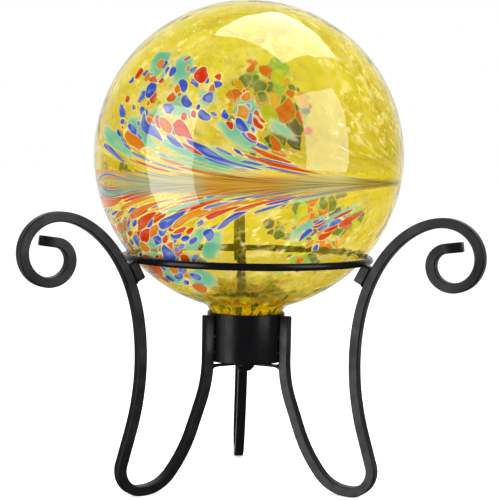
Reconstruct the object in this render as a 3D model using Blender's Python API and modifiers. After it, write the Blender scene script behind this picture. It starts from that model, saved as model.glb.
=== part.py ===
"""Gazing ball on a three-legged scroll stand.

A thin blown-glass ball with an open neck stands in a short tube. Three square bars, each bent into
a foot, a shank and a scroll, carry the tube, and short rests on the shanks hold a round ring that
steadies the ball. Metres, +Z up. The front is -Y, and the origin is on the floor, under the middle
of the object's box. Each weld is a named clearance, so that every piece stays a solid of its own.
"""
import math

import bpy
from mathutils import Vector

# Ball: a hollow globe drawn in to an open neck
BALL_RADIUS = 0.127
BALL_WALL = 0.0025
NECK_RADIUS = 0.029
NECK_FILLET = 0.012
NECK_INSERT = 0.030

# Socket tube
TUBE_RADIUS = 0.0322
TUBE_WALL = 0.002
TUBE_LENGTH = 0.040
TUBE_TOP = 0.143

# Square bar of the legs and of the rests
BAR = 0.0079
BAR_EDGE = 0.0007

# Ring, and how far below the ball's equator it lies
RING_ROD = 0.0058
RING_SLOPE_DEG = 39.4
RING_SEAT_DEPTH = 0.001
REST_LENGTH = 0.016
REST_ABOVE_RING = 0.002

# Leg from the tube down to the foot
STRAND_DROP = 0.0015
STRAND_BEND_RADIUS = 0.0975
STRAND_BEND_DEG = 20.4
CALF_RADIUS = 0.113
CALF_BEND_DEG = 20.4
TOE_RADIUS = 0.0317
FOOT_FLAT = 0.0024

# Leg from the foot up to the end of the scroll
HEEL_RADIUS = 0.0177
HEEL_BEND_DEG = 106.8
SHANK_RUN = 0.026
SHANK_RADIUS = 0.200
SHANK_BEND_DEG = 24.6
SHOULDER_RADIUS = 0.160
SHOULDER_BEND_DEG = 91.3
CROWN_RADIUS = 0.0309
CURL_BEND_DEG = 343.0
CURL_RADIUS = 0.012
TAIL_RUN = 0.0135

# Spider under the tube
ARM_ROD = 0.0027
ARM_DROP = 0.0033
BOSS_RADIUS = 0.009
BOSS_HEIGHT = 0.0078

# Clearances
WELD_GAP = 0.0003
SEAT_GAP = 0.0003
BALL_TO_RING = 0.0013

# Azimuth of each leg, seen from above and counted from the front
LEGS = {"left": -60.0, "right": 60.0, "rear": 180.0}

# Facets
BALL_STEPS = 48
OUTER_ARC_STEPS = 20
INNER_ARC_STEPS = 15
FILLET_STEPS = 5
TUBE_STEPS = 48
RING_STEPS = 56
ROD_STEPS = 10
BOSS_STEPS = 24
CHORD_SAG = 0.00015
MERGE = 0.0001

# Finishes: linear colour, roughness, metallic
GLASS_LOOK = ((0.72, 0.60, 0.02, 1.0), 0.05, 0.0)
BLACK_LOOK = ((0.012, 0.012, 0.013, 1.0), 0.42, 0.0)


class Route:
    """A bar's centre line in its upright plane, drawn as straight runs and bends.

    Points are (radius, height). The heading is 0 for straight down and grows as the bar turns
    outward: 90 points away from the stand's axis, and 180 straight up.
    """

    def __init__(self, heading=0.0):
        self.points = [Vector((0.0, 0.0))]
        self.heading = heading

    def straight(self, length):
        angle = math.radians(self.heading)
        self.points.append(self.points[-1] + length * Vector((math.sin(angle), -math.cos(angle))))

    def bend(self, radius, turn_deg, end_radius=None):
        """Turn by turn_deg, on one radius or on one that runs evenly on to end_radius."""
        end_radius = end_radius or radius
        ratio = end_radius / radius
        mean = math.sqrt(radius * end_radius)
        largest_turn = math.degrees(math.sqrt(8.0 * CHORD_SAG / mean))
        steps = math.ceil(abs(turn_deg) / largest_turn)
        turn = turn_deg / steps
        for step in range(steps):
            local = radius * ratio ** ((step + 0.5) / steps)
            self.heading += 0.5 * turn
            self.straight(2.0 * local * math.sin(math.radians(0.5 * abs(turn))))
            self.heading += 0.5 * turn

    def end(self):
        return self.points[-1]


def inner_route(strand_run, slant_run):
    """Down from the tube to the outer end of the foot's flat."""
    route = Route()
    route.straight(strand_run)
    route.bend(STRAND_BEND_RADIUS, STRAND_BEND_DEG)
    route.straight(slant_run)
    route.bend(CALF_RADIUS, CALF_BEND_DEG)
    route.bend(TOE_RADIUS, 90.0 - STRAND_BEND_DEG - CALF_BEND_DEG)
    route.straight(FOOT_FLAT)
    return route


def outer_route():
    """Up from the outer end of the foot's flat to the end of the scroll."""
    route = Route(heading=90.0)
    route.bend(HEEL_RADIUS, HEEL_BEND_DEG)
    route.straight(SHANK_RUN)
    route.bend(SHANK_RADIUS, -SHANK_BEND_DEG)
    route.bend(SHOULDER_RADIUS, -SHOULDER_BEND_DEG, CROWN_RADIUS)
    route.bend(CROWN_RADIUS, -CURL_BEND_DEG, CURL_RADIUS)
    route.straight(TAIL_RUN)
    return route


# Ball's height: its neck fillet seats on the inner edge of the tube's rim
TUBE_INNER = TUBE_RADIUS - TUBE_WALL
FILLET_RADIAL = NECK_RADIUS + NECK_FILLET
FILLET_Z = TUBE_TOP - math.sqrt((NECK_FILLET - SEAT_GAP) ** 2 - (FILLET_RADIAL - TUBE_INNER) ** 2)
BALL_Z = FILLET_Z + math.sqrt((BALL_RADIUS + NECK_FILLET) ** 2 - FILLET_RADIAL ** 2)

# Ring's place: a named clearance off the ball, at its slope
RING_OFF_CENTRE = BALL_RADIUS + BALL_TO_RING + RING_ROD / 2.0
RING_RADIUS = RING_OFF_CENTRE * math.cos(math.radians(RING_SLOPE_DEG))
RING_Z = BALL_Z - RING_OFF_CENTRE * math.sin(math.radians(RING_SLOPE_DEG))

# Leg's place: its strand stands against the tube, its shank carries the ring
STRAND_RADIUS = TUBE_RADIUS + WELD_GAP + BAR / 2.0
STRAND_TOP = TUBE_TOP - STRAND_DROP
RING_TO_SHANK = RING_ROD / 2.0 + WELD_GAP - RING_SEAT_DEPTH + BAR + WELD_GAP + BAR / 2.0


def shank_under_ring(points):
    """Find where a shank that starts at the foot passes the ring.

    Returns the foot's radius that leaves RING_TO_SHANK between the ring and the bar's centre line,
    the point of the line that is nearest to the ring, and the line's upward direction there.
    """
    ring_height = RING_Z - BAR / 2.0
    crossings = []
    for start, end in zip(points, points[1:]):
        along = (end - start).normalized()
        if along.y < 0.1:
            continue
        inward = Vector((-along.y, along.x))
        step = (ring_height - start.y - inward.y * RING_TO_SHANK) / along.y
        off_the_run = max(0.0, -step, step - (end - start).length)
        crossings.append((off_the_run, start + along * step, along, inward))
    nearest, along, inward = min(crossings, key=lambda crossing: crossing[0])[1:]
    foot_radius = RING_RADIUS - (nearest + inward * RING_TO_SHANK).x
    return foot_radius, nearest, along


def leg_points():
    """The whole centre line, from the strand's top to the scroll's end, in real radius and height."""
    outer = outer_route().points
    foot_radius, nearest, along = shank_under_ring(outer)
    bends = inner_route(0.0, 0.0).end()
    slant = (foot_radius - STRAND_RADIUS - bends.x) / math.sin(math.radians(STRAND_BEND_DEG))
    drop = slant * math.cos(math.radians(STRAND_BEND_DEG)) - bends.y
    strand = STRAND_TOP - BAR / 2.0 - drop
    inner = inner_route(strand, slant).points
    top = Vector((STRAND_RADIUS, STRAND_TOP))
    foot = Vector((foot_radius, BAR / 2.0))
    points = [top + point for point in inner] + [foot + point for point in outer[1:]]
    return points, foot + nearest, along


LEG_POINTS, REST_POINT, REST_ALONG = leg_points()
LEG_REACH = max(point.x for point in LEG_POINTS) + BAR / 2.0

# The stand's axis is set back, so that the object's box is centred on the origin
AXIS_Y = (BALL_RADIUS - LEG_REACH) / 2.0


def clear_scene():
    for old in list(bpy.data.objects):
        bpy.data.objects.remove(old, do_unlink=True)


def new_collection(name):
    collection = bpy.data.collections.new(name)
    bpy.context.scene.collection.children.link(collection)
    return collection


def finish_material(obj, look):
    """Give the object a material of its own."""
    colour, roughness, metallic = look
    material = bpy.data.materials.new(obj.name + "_finish")
    material.use_nodes = True
    shader = material.node_tree.nodes["Principled BSDF"]
    shader.inputs["Base Color"].default_value = colour
    shader.inputs["Roughness"].default_value = roughness
    shader.inputs["Metallic"].default_value = metallic
    obj.data.materials.clear()
    obj.data.materials.append(material)


def place(obj, name, collection, parent):
    obj.name = name
    obj.data.name = name
    for home in list(obj.users_collection):
        home.objects.unlink(obj)
    collection.objects.link(obj)
    obj.parent = parent


def arc_points(centre, radius, start_deg, end_deg, steps):
    """Points on an arc, with angles counted from straight up, clockwise."""
    points = []
    for step in range(steps + 1):
        angle = math.radians(start_deg + (end_deg - start_deg) * step / steps)
        points.append((centre[0] + radius * math.sin(angle), centre[1] + radius * math.cos(angle)))
    return points


def globe_side(offset, arc_steps, fillet_steps):
    """The ball's outline from the top pole to the neck, on a surface this far inside the glass."""
    meet_deg = 180.0 - math.degrees(math.asin(FILLET_RADIAL / (BALL_RADIUS + NECK_FILLET)))
    globe = arc_points((0.0, BALL_Z), BALL_RADIUS - offset, 0.0, meet_deg, arc_steps)
    fillet = arc_points((FILLET_RADIAL, FILLET_Z), NECK_FILLET + offset, meet_deg - 180.0, -90.0, fillet_steps)
    return globe + fillet[1:]


def ball_profile():
    neck_end = TUBE_TOP - NECK_INSERT
    outer = globe_side(0.0, OUTER_ARC_STEPS, FILLET_STEPS)
    inner = globe_side(BALL_WALL, INNER_ARC_STEPS, FILLET_STEPS)
    profile = outer + [(NECK_RADIUS, neck_end), (NECK_RADIUS - BALL_WALL, neck_end)] + inner[::-1]
    return [(max(radius, 0.0), height) for radius, height in profile]


def make_turned(name, profile, steps, look, collection, parent):
    """A turned solid, from a profile that runs down its outer side."""
    mesh = bpy.data.meshes.new(name)
    edges = [(index, index + 1) for index in range(len(profile) - 1)]
    mesh.from_pydata([(radius, 0.0, height) for radius, height in profile], edges, [])
    obj = bpy.data.objects.new(name, mesh)
    place(obj, name, collection, parent)
    turn = obj.modifiers.new("Turn", "SCREW")
    turn.angle = 2.0 * math.pi
    turn.steps = steps
    turn.render_steps = steps
    turn.use_merge_vertices = True
    turn.merge_threshold = MERGE
    turn.use_smooth_shade = True
    finish_material(obj, look)
    return obj


def make_tube(collection, parent):
    bpy.ops.mesh.primitive_cylinder_add(vertices=TUBE_STEPS, radius=TUBE_RADIUS, depth=TUBE_LENGTH,
                                        end_fill_type="NOTHING",
                                        location=(0.0, 0.0, TUBE_TOP - TUBE_LENGTH / 2.0))
    tube = bpy.context.object
    place(tube, "socket_tube", collection, parent)
    wall = tube.modifiers.new("Wall", "SOLIDIFY")
    wall.thickness = TUBE_WALL
    wall.offset = -1.0
    tube.data.shade_smooth()
    finish_material(tube, BLACK_LOOK)


def bar_section(collection):
    """The square bar's section, with its edges broken."""
    half = BAR / 2.0
    flat = half - BAR_EDGE
    corners = [(half, flat), (half, -flat), (flat, -half), (-flat, -half),
               (-half, -flat), (-half, flat), (-flat, half), (flat, half)]
    data = bpy.data.curves.new("bar_section", "CURVE")
    data.dimensions = "2D"
    data.fill_mode = "NONE"
    outline = data.splines.new("POLY")
    outline.points.add(len(corners) - 1)
    for point, (across, up) in zip(outline.points, corners):
        point.co = (across, up, 0.0, 1.0)
    outline.use_cyclic_u = True
    section = bpy.data.objects.new("bar_section", data)
    collection.objects.link(section)
    section.hide_render = True
    section.display_type = "WIRE"
    return section


def turn_to(azimuth_deg):
    """The turn about Z that takes a piece drawn along +X to its azimuth from the front."""
    return math.radians(azimuth_deg - 90.0)


def make_leg(side, azimuth_deg, section, collection, parent):
    data = bpy.data.curves.new("leg_" + side, "CURVE")
    data.dimensions = "2D"
    data.fill_mode = "NONE"
    data.bevel_mode = "OBJECT"
    data.bevel_object = section
    data.use_fill_caps = True
    line = data.splines.new("POLY")
    line.points.add(len(LEG_POINTS) - 1)
    for point, place_on_line in zip(line.points, LEG_POINTS):
        point.co = (place_on_line.x, place_on_line.y, 0.0, 1.0)
    leg = bpy.data.objects.new("leg_" + side, data)
    leg.rotation_euler = (math.radians(90.0), 0.0, turn_to(azimuth_deg))
    place(leg, "leg_" + side, collection, parent)
    finish_material(leg, BLACK_LOOK)


def ring_torus(tube_radius):
    bpy.ops.mesh.primitive_torus_add(major_segments=RING_STEPS, minor_segments=ROD_STEPS,
                                     major_radius=RING_RADIUS, minor_radius=tube_radius,
                                     location=(0.0, 0.0, RING_Z))
    return bpy.context.object


def make_ring(collection, cutters, parent):
    """The ring, and the larger torus that cuts its seats in the rests."""
    ring = ring_torus(RING_ROD / 2.0)
    place(ring, "support_ring", collection, parent)
    ring.data.shade_smooth()
    finish_material(ring, BLACK_LOOK)
    seat = ring_torus(RING_ROD / 2.0 + WELD_GAP)
    place(seat, "ring_seat_cutter", cutters, parent)
    seat.hide_render = True
    seat.display_type = "WIRE"
    return seat


def make_rest(side, azimuth_deg, seat, collection, parent):
    """A short length of bar on the shank's inner face, notched for the ring."""
    inward = Vector((-REST_ALONG.y, REST_ALONG.x))
    middle = REST_POINT + inward * (BAR + WELD_GAP) + REST_ALONG * (REST_ABOVE_RING - REST_LENGTH / 2.0)
    bpy.ops.mesh.primitive_cube_add(size=1.0)
    rest = bpy.context.object
    place(rest, "ring_rest_" + side, collection, parent)
    for corner in rest.data.vertices:
        corner.co = (corner.co.x * BAR, corner.co.y * BAR, corner.co.z * REST_LENGTH)
    lean = math.atan2(REST_ALONG.x, REST_ALONG.y)
    turn = turn_to(azimuth_deg)
    rest.rotation_euler = (0.0, lean, turn)
    rest.location = (middle.x * math.cos(turn), middle.x * math.sin(turn), middle.y)
    edges = rest.modifiers.new("Edges", "BEVEL")
    edges.width = BAR_EDGE
    edges.segments = 1
    notch = rest.modifiers.new("Notch", "BOOLEAN")
    notch.operation = "DIFFERENCE"
    notch.solver = "EXACT"
    notch.object = seat
    finish_material(rest, BLACK_LOOK)


def make_spider(collection, parent):
    """Three thin arms from the strands to a boss, just under the tube."""
    arm_z = TUBE_TOP - TUBE_LENGTH - ARM_DROP
    bpy.ops.mesh.primitive_cylinder_add(vertices=BOSS_STEPS, radius=BOSS_RADIUS, depth=BOSS_HEIGHT,
                                        location=(0.0, 0.0, arm_z + ARM_ROD / 2.0 - BOSS_HEIGHT / 2.0))
    boss = bpy.context.object
    place(boss, "centre_boss", collection, parent)
    edges = boss.modifiers.new("Edges", "BEVEL")
    edges.width = BAR_EDGE
    edges.segments = 1
    edges.limit_method = "ANGLE"
    finish_material(boss, BLACK_LOOK)
    start = BOSS_RADIUS + WELD_GAP
    end = STRAND_RADIUS - BAR / 2.0 - WELD_GAP
    for side, azimuth_deg in LEGS.items():
        turn = turn_to(azimuth_deg)
        middle = (start + end) / 2.0
        bpy.ops.mesh.primitive_cylinder_add(vertices=ROD_STEPS, radius=ARM_ROD / 2.0, depth=end - start,
                                            location=(middle * math.cos(turn), middle * math.sin(turn), arm_z),
                                            rotation=(0.0, math.radians(90.0), turn))
        arm = bpy.context.object
        place(arm, "arm_" + side, collection, parent)
        finish_material(arm, BLACK_LOOK)


def main():
    clear_scene()
    pieces = new_collection("gazing_ball")
    cutters = new_collection("cutters_and_sections")
    axis = bpy.data.objects.new("stand_axis", None)
    axis.location = (0.0, AXIS_Y, 0.0)
    pieces.objects.link(axis)
    make_turned("glass_ball", ball_profile(), BALL_STEPS, GLASS_LOOK, pieces, axis)
    make_tube(pieces, axis)
    section = bar_section(cutters)
    seat = make_ring(pieces, cutters, axis)
    for side, azimuth_deg in LEGS.items():
        make_leg(side, azimuth_deg, section, pieces, axis)
        make_rest(side, azimuth_deg, seat, pieces, axis)
    make_spider(pieces, axis)


main()
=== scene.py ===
"""The dressed gazing ball on its scroll stand: glass, coated steel, floor, light and camera.

Metres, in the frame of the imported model. The front is -Y, and the stand's axis is set back a little
from the origin. Sizes that a piece needs are written once below, as in the model.
"""
import math

import bmesh
import bpy
from mathutils import Matrix, Vector, noise


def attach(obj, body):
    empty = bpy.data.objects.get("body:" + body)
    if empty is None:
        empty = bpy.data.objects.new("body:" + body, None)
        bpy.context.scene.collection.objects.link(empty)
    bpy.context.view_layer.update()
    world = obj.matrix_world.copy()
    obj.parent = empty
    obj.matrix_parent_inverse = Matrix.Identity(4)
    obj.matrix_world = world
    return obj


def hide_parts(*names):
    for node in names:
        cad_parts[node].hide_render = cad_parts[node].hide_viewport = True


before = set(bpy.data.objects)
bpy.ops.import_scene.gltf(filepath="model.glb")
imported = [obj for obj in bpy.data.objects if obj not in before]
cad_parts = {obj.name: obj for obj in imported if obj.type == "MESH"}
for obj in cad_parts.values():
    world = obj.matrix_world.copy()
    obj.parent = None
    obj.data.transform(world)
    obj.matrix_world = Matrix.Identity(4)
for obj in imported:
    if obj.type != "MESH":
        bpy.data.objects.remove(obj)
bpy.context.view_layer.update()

# Ball
BALL_RADIUS = 0.127
BALL_WALL = 0.0025
NECK_RADIUS = 0.029
NECK_FILLET = 0.012
NECK_INSERT = 0.030

# Socket tube
TUBE_RADIUS = 0.0322
TUBE_WALL = 0.002
TUBE_LENGTH = 0.040
TUBE_TOP = 0.143
TUBE_EDGE = 0.0006

# Square bar, and the shares of its eased edge for the support rows and the bar's ends
BAR = 0.0079
BAR_EDGE = 0.0008
SUPPORT_SHARE = 0.35
BAR_END_SHARE = 0.7

# Ring and its rests
RING_ROD = 0.0058
RING_SLOPE_DEG = 39.4
RING_SEAT_DEPTH = 0.001
REST_LENGTH = 0.016
REST_ABOVE_RING = 0.002

# Leg, from the tube to the foot
STRAND_DROP = 0.0015
STRAND_BEND_RADIUS = 0.0975
STRAND_BEND_DEG = 20.4
CALF_RADIUS = 0.113
CALF_BEND_DEG = 20.4
TOE_RADIUS = 0.0317
FOOT_FLAT = 0.0024

# Leg, from the foot to the end of the scroll
HEEL_RADIUS = 0.0177
HEEL_BEND_DEG = 106.8
SHANK_RUN = 0.026
SHANK_RADIUS = 0.200
SHANK_BEND_DEG = 24.6
SHOULDER_RADIUS = 0.160
SHOULDER_BEND_DEG = 91.3
CROWN_RADIUS = 0.0309
CURL_BEND_DEG = 343.0
CURL_RADIUS = 0.012
TAIL_RUN = 0.0135

# Spider under the tube: thin arms that swell where they are welded on, and a lump in the middle
ARM_ROD = 0.0027
ARM_DROP = 0.0033
ARM_SWELL = 0.0030
ARM_SWELL_RUN = 0.0016
ARM_SIDE_SWELL = 0.35
ARM_START = 0.6
BOSS_RADIUS = 0.009
BOSS_HEIGHT = 0.0078
BOSS_OUTLINE = ((0.0012, 0.0), (0.55, 0.0), (0.85, 0.05), (1.0, 0.20), (0.97, 0.42), (0.86, 0.62),
                (0.76, 0.80), (0.62, 0.95), (0.35, 1.0), (0.0012, 1.0))
BOSS_SHRINK = 0.93
BOSS_LUMP = 0.09
BOSS_LUMPS_PER_M = 420.0

# Clearances
WELD_GAP = 0.0003
SEAT_GAP = 0.0003
BALL_TO_RING = 0.0013

# Weld beads: half their thickness, how long a seam's half is, and how far they stand off
TOP_BEAD = 0.0013
SEAM_BEAD = 0.0010
ARM_BEAD = 0.0022
REST_BEAD = 0.0012
SEAM_HEIGHTS = (("upper", 0.1240), ("lower", 0.1110))
SEAM_HALF = 0.0019
ARM_BEAD_HALF = 0.0026
SEAM_OFF = 0.0001
BEAD_OFF = 0.0002
TOP_BEAD_OFF = 0.0004
BEAD_END = 0.03
BEAD_LUMP = 0.30
BEAD_LUMPS_PER_M = 900.0
BEAD_SEED_STEP = 3.7
ARM_BEAD_SEED = 0.3
REST_BEAD_SEED = 0.6
TOP_BEAD_SPAN = 0.95
REST_BEAD_SPAN = 0.9

# How finely the meshes are divided
CHORD_SAG = 0.00001
POLE_DEG = 0.6
GLOBE_ROWS = 120
FILLET_ROWS = 14
NECK_ROWS = 6
LIP_ROWS = 6
BALL_COLUMNS = 192
TUBE_COLUMNS = 128
RING_COLUMNS = 240
ROD_COLUMNS = 20
CORNER_ROWS = 4
REST_ROWS = 8
ARM_ROWS = 33
ARM_CROWDING = 1.6
BOSS_COLUMNS = 40
BEAD_COLUMNS = 14
BEAD_ROWS = 6

LEGS = {"left": -60.0, "right": 60.0, "rear": 180.0}

# Comb in the glass, in ball radii and degrees of longitude from the front
SPINE_HEIGHT = -0.167
SPINE_TILT = 0.019
SPINE_DRAG_DEG = 67.0
SPINE_REACH = 0.126
TIP_DRAG_DEG = 20.0
TIP_REACH = 0.010
COMB_ENDS_DEG = (-92.0, -58.0, 92.0, 120.0)
SPINE_ENDS_DEG = (-76.0, -44.0, 100.0, 140.0)
BACK_WALL_DEG = (97.0, 112.0)
WINDOW_ENDS_DEG = (-4.0, 4.0, 22.0, 30.0)
WINDOW_HEIGHT = 0.30

# Patches of chips: middle longitude and height, half width in degrees and half height
PATCHES = ((-32.0, 0.16, 32.0, 0.40), (-58.0, -0.42, 44.0, 0.44), (-104.0, -0.17, 34.0, 0.13),
           (169.0, 0.32, 20.0, 0.32), (143.0, -0.50, 29.0, 0.25), (19.0, -0.42, 14.0, 0.13))
FAR_OUTSIDE = -10.0

# Chips: cells per radius, the share of cells that hold a chip, and the squash that makes them tall
GROUND_CELLS, GROUND_SQUASH = 15.0, 0.68
MINT_CELLS, MINT_SHARE, MINT_SQUASH = 5.8, 0.70, 0.85
SMALL_CHIPS = ((7.5, 0.18, 0.75), (11.0, 0.60, 0.75), (16.0, 0.58, 0.85))
WARM_FROM = 0.42
ORANGE_FROM = 0.72
INSIDE_MARGIN = 0.07

# Colours of the glass as display values, from 0 to 255
YELLOWS = ((230, 206, 34), (219, 199, 38))
CELL_YELLOW = (234, 196, 20)
# Painted highlight: the lighter yellow that the top of the ball goes to
TOP_HIGHLIGHT_YELLOW = (250, 234, 60)
# Painted shade: the darker yellow low down on the ball
LOW_SHADE_YELLOW = (178, 158, 42)
MILK = (232, 221, 168)
HALO = (226, 210, 150)
MINTS = ((70, 148, 110), (100, 162, 134))
DULL_MINT = (126, 166, 124)
OUTER_MINT = (136, 174, 128)
BACK_MINT = (78, 184, 50)
BLUES = ((34, 60, 144), (60, 80, 148))
BACK_BLUES = ((4, 72, 8), (8, 14, 74))
REDS = ((166, 36, 4), (164, 60, 10))
BACK_RED = (230, 36, 4)
ORANGES = ((172, 76, 8), (176, 118, 16))
BACK_ORANGES = ((240, 140, 4), (170, 206, 8))
CHIP_MOTTLE = (196, 190, 186)
CHIP_EDGE = (50, 30, 30)
CHIP_OUTLINE = (210, 199, 164)
# Painted shade: the dark colour that the backs of chips go to, seen from inside the ball
SHADED_CHIP_BACK = (30, 38, 40)

# Ramps of colour: the first colour, then each further one with where its step begins and ends
CREAM_STREAKS = ((70, 98, 84), (0.34, 0.42, (138, 132, 100)), (0.48, 0.54, (92, 112, 90)),
                 (0.60, 0.66, (158, 148, 120)))
BROWN_STREAKS = ((84, 62, 16), (0.36, 0.44, (160, 92, 18)), (0.48, 0.54, (138, 116, 50)),
                 (0.58, 0.64, (104, 62, 14)))
OLIVE_STREAKS = ((66, 74, 34), (0.36, 0.44, (142, 116, 58)), (0.50, 0.56, (138, 134, 92)))
GOLD_STREAKS = ((72, 62, 20), (0.38, 0.46, (142, 118, 22)), (0.52, 0.58, (98, 80, 18)))
NECK_AMBERS = ((84, 72, 8), (0.38, 0.48, (176, 158, 8)), (0.49, 0.54, (176, 90, 8)),
               (0.55, 0.61, (186, 168, 14)), (0.67, 0.73, (212, 198, 110)))

# The streaks' ramps follow each other along the comb, each from a first to a last degree
STREAKS_ALONG = ((-25.0, -14.0, BROWN_STREAKS), (2.0, 18.0, OLIVE_STREAKS), (28.0, 44.0, GOLD_STREAKS))

# Noise in the glass, as (scale, detail), with a roughness where it isn't one half
WOBBLE_NOISE = (5.0, 1.0)
RIPPLE_NOISE = (13.0, 0.0)
RAGGED_NOISE = (2.3, 1.0)
STRAND_NOISE = (11.0, 2.0, 0.6)
LOBE_NOISE = (14.0, 1.0)
PEBBLE_NOISE = (170.0, 3.0, 0.65)
GLASS_WAVE_NOISE = (7.0, 1.0)

# How far noise moves a place, in ball radii, and how much it roughens a patch's outline
WOBBLE = 0.06
RIPPLE = 0.04
RAGGEDNESS = 0.9

# Soft steps in the glass, as (from, to), with the values before and after where not 0 and 1
# Painted highlight towards the top, by height
TOP_HIGHLIGHT_STEP = (0.10, 0.75, 0.0, 0.7)
# Painted shade towards the bottom, by height
LOW_SHADE_STEP = (-0.80, -0.50, 0.75, 0.0)
GAP_STEP = (0.62, 0.90)
OFF_COMB_STEP = (0.02, 0.22, 0.25, 1.0)
NEAR_CHIPS_STEP = (-0.15, 0.45, 0.20, 0.42)
WINDOW_STEP = (0.22, 0.36, 0.8, 0.0)
HALO_STEP = (0.54, 0.76, 1.0, 0.0)
OUTER_MINT_STEP = (0.15, 0.60, 0.0, 0.45)
DENSE_STEP = (-0.34, -0.16, 0.11, 0.0)
BACK_BLUE_STEP = (0.62, 0.66)
BACK_ORANGE_STEP = (0.45, 0.50)
DARK_EDGE_STEP = (0.04, 0.22, 0.35, 0.0)
BODY_STEP = (-0.01, 0.07)
NARROWING_DEG = (20.0, 90.0, 1.0, 4.0)
SPINE_STEP = (0.035, 0.090, 1.0, 0.0)
NECK_STEP = (0.985, 1.02)
PILE_STEP = (0.91, 0.97)
PILE_SIDE_STEP = (0.05, 0.45)

# Soft steps in noise, as the noise and the step
TONE = (3.2, 3.0), (0.35, 0.68)
HAZE = (8.0, 2.0), (0.46, 0.70)
SPOTS = (21.0, 1.5), (0.55, 0.72)
CLOUDS = (10.0, 2.0), (0.52, 0.72)
SCATTER = (3.0, 2.0), (0.38, 0.56, 0.25, 0.95)
DULL = (7.0, 1.0), (0.4, 0.68)
MOTTLE = (19.0, 1.0), (0.42, 0.66, 0.0, 0.45)
PALE_OUTLINE = (9.0, 1.0), (0.35, 0.62, 0.25, 0.7)

# Shares of a layer in what lies under it
CELL_YELLOW_SHARE = 0.40
GAP_SHARE = 0.55
SPOT_SHARE = 0.75
CLOUD_SHARE = 0.50
HALO_SHARE = 0.55
BACK_MINT_SHARE = 0.75
BACK_CHIP_SHARES = (0.85, 0.8, 0.85)
BACK_MOTTLE_SHARE = 0.15
MOTTLE_SHARES = (0.40, 0.15)
DARK_EDGE_SHARE = 0.6
STREAK_SHARE = 0.9
# Painted shade on chip backs: how far they go towards the dark colour
BACK_SHADE_SHARE = 0.6

# Mint chips end where a cell's centre is far and its border is near, each with a soft edge
MINT_END = 0.46
MINT_BORDER = 0.02
MINT_FAR_EDGE = 0.20
MINT_BORDER_EDGE = 0.16

# Small chips: how deep in a patch, how far they reach by chance, and what low places and the back add
CHIP_DEPTH = 0.03
CHIP_REACH = (0.36, 0.62)
CHIP_BORDER = 0.7
CHIP_RIM = 0.03
BACK_LIMIT = 0.20
BACK_REACH = 0.10
DENSE_REACH = 0.6

# How see-through the glass is; a pair is for in front and on the back wall, or cool and warm
CLEAR_YELLOW = 0.96
CLEAR_MILK = 0.45
CLEAR_MINTS = (0.30, 0.95)
CLEAR_CHIP = 0.10
CLEAR_BACK_CHIPS = (0.80, 0.95)
CLEAR_STREAK = 0.20
CLEAR_PILE = 0.50
CLEAR_NECK = 0.12

# Backs of chips: how solid a mint one is, and how much painted shade darkens a mint one and a small one
MINT_BACK_SOLID = 0.5
MINT_BACK_SHADE = 0.3
CHIP_BACK_SHADE = 0.85

# Mottling at the neck: how uneven its start is, and the scales of its spots round and up
LOBE_DEPTH = 0.14
PEBBLE_ROUND = 0.035
PEBBLE_UP = 0.55

GLASS_ROUGHNESS = 0.02
GLASS_IOR = 1.45
GLASS_RELIEF = (0.18, 0.0015)
WHITE = (1.0, 1.0, 1.0, 1.0)

# Powder coat: colours as display values, noise, and relief
COAT_COLOURS = ((8, 8, 10), (12, 12, 14))
COAT_NOISE = (60.0, 3.0)
WORN_NOISE = (140.0, 2.0)
WORN_STEP = (0.3, 0.7)
WORN_CHANGES = (-0.05, 0.06)
WAVE_NOISE = (32.0, 1.0)
WAVE_HEIGHT = 0.004
GRAIN_NOISE = (1100.0, 2.0, 0.6)
GRAIN_HEIGHT = 0.0001

# Studio: a backdrop behind and above for reflections, and how much white each kind of ray loses
BACKDROP_BACK_STEP = (0.50, 0.88, 0.0, 0.83)
BACKDROP_UP_STEP = (-0.55, -0.10)
GLOSS_LOSS = 0.95
DIFFUSE_LOSS = 0.35

# Softboxes: direction from the ball or place, then width, height and radiance
SOFTBOX_DISTANCE = 1.3
SIDE_SOFTBOXES = {"right_softbox": ((0.742, -0.549, 0.27), 0.80, 1.2, 5.5),
                  "left_softbox": ((-0.866, -0.50, -0.046), 0.86, 1.62, 6.0)}
TOP_SOFTBOX = (0.34, 0.22, 1.5)
TOP_SOFTBOX_SIZE = (1.05, 1.0)
TOP_SOFTBOX_RADIANCE = 5.5
TOP_SOFTBOX_TURN_DEG = 50.0

# Floor
FLOOR_SIZE = 60.0
FLOOR_DROP = 0.0002
FLOOR_COLOUR = (0.9, 0.9, 0.9, 1.0)
FLOOR_ROUGHNESS = 0.9
FLOOR_GLOW = 0.48

# Camera
PHOTO_PIXELS = 500.0
FOCAL_PIXELS = 1273.16
SENSOR_MM = 36.0
CAMERA_PLACE = (-0.0521, -1.0896, 0.2660)
CAMERA_PITCH = -0.0682
CAMERA_YAW = 0.0517
CAMERA_ROLL = 0.0192
CAMERA_NEAR = 0.01


class Route:
    """A bar's centre line in its upright plane, as (radius, height), from straight runs and bends."""

    def __init__(self, heading=0.0):
        self.points = [Vector((0.0, 0.0))]
        self.heading = heading

    def straight(self, length):
        angle = math.radians(self.heading)
        self.points.append(self.points[-1] + length * Vector((math.sin(angle), -math.cos(angle))))

    def bend(self, radius, turn_deg, end_radius=None):
        end_radius = end_radius or radius
        ratio = end_radius / radius
        mean = math.sqrt(radius * end_radius)
        steps = math.ceil(abs(turn_deg) / math.degrees(math.sqrt(8.0 * CHORD_SAG / mean)))
        turn = turn_deg / steps
        for step in range(steps):
            local = radius * ratio ** ((step + 0.5) / steps)
            self.heading += 0.5 * turn
            self.straight(2.0 * local * math.sin(math.radians(0.5 * abs(turn))))
            self.heading += 0.5 * turn

    def end(self):
        return self.points[-1]


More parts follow.
